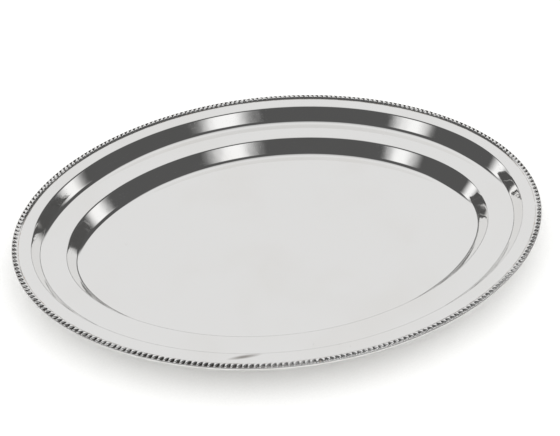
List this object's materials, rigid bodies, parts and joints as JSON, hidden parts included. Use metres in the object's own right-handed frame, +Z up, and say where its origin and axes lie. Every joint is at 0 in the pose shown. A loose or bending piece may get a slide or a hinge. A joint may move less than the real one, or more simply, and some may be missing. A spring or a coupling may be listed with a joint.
{
  "type": "oval serving tray",
  "caption": "Oval two-step serving tray in polished silver plate, with a shallow well, a ledge, a flat rim and an applied row of leaning beads.",
  "frame": {"origin": "centre of the flat underside of the base", "axes": "+X along the long axis of the oval, +Y across it towards the back, +Z up out of the well"},
  "size_m": [0.503, 0.353, 0.0353],
  "materials": {
    "polished_plate": "hand-polished silver plate",
    "bead_plate": "polished crowns with darkened dips",
    "solder": "dull soft solder"
  },
  "bodies": {
    "root": {"tray_body": "polished_plate", "edge_band": "polished_plate", "bead_strip_left": "bead_plate", "bead_strip_right": "bead_plate", "solder_joint_front": "solder", "solder_joint_back": "solder", "solder_seam_rim": "solder", "solder_seam_under": "solder"}
  },
  "joints": []
}
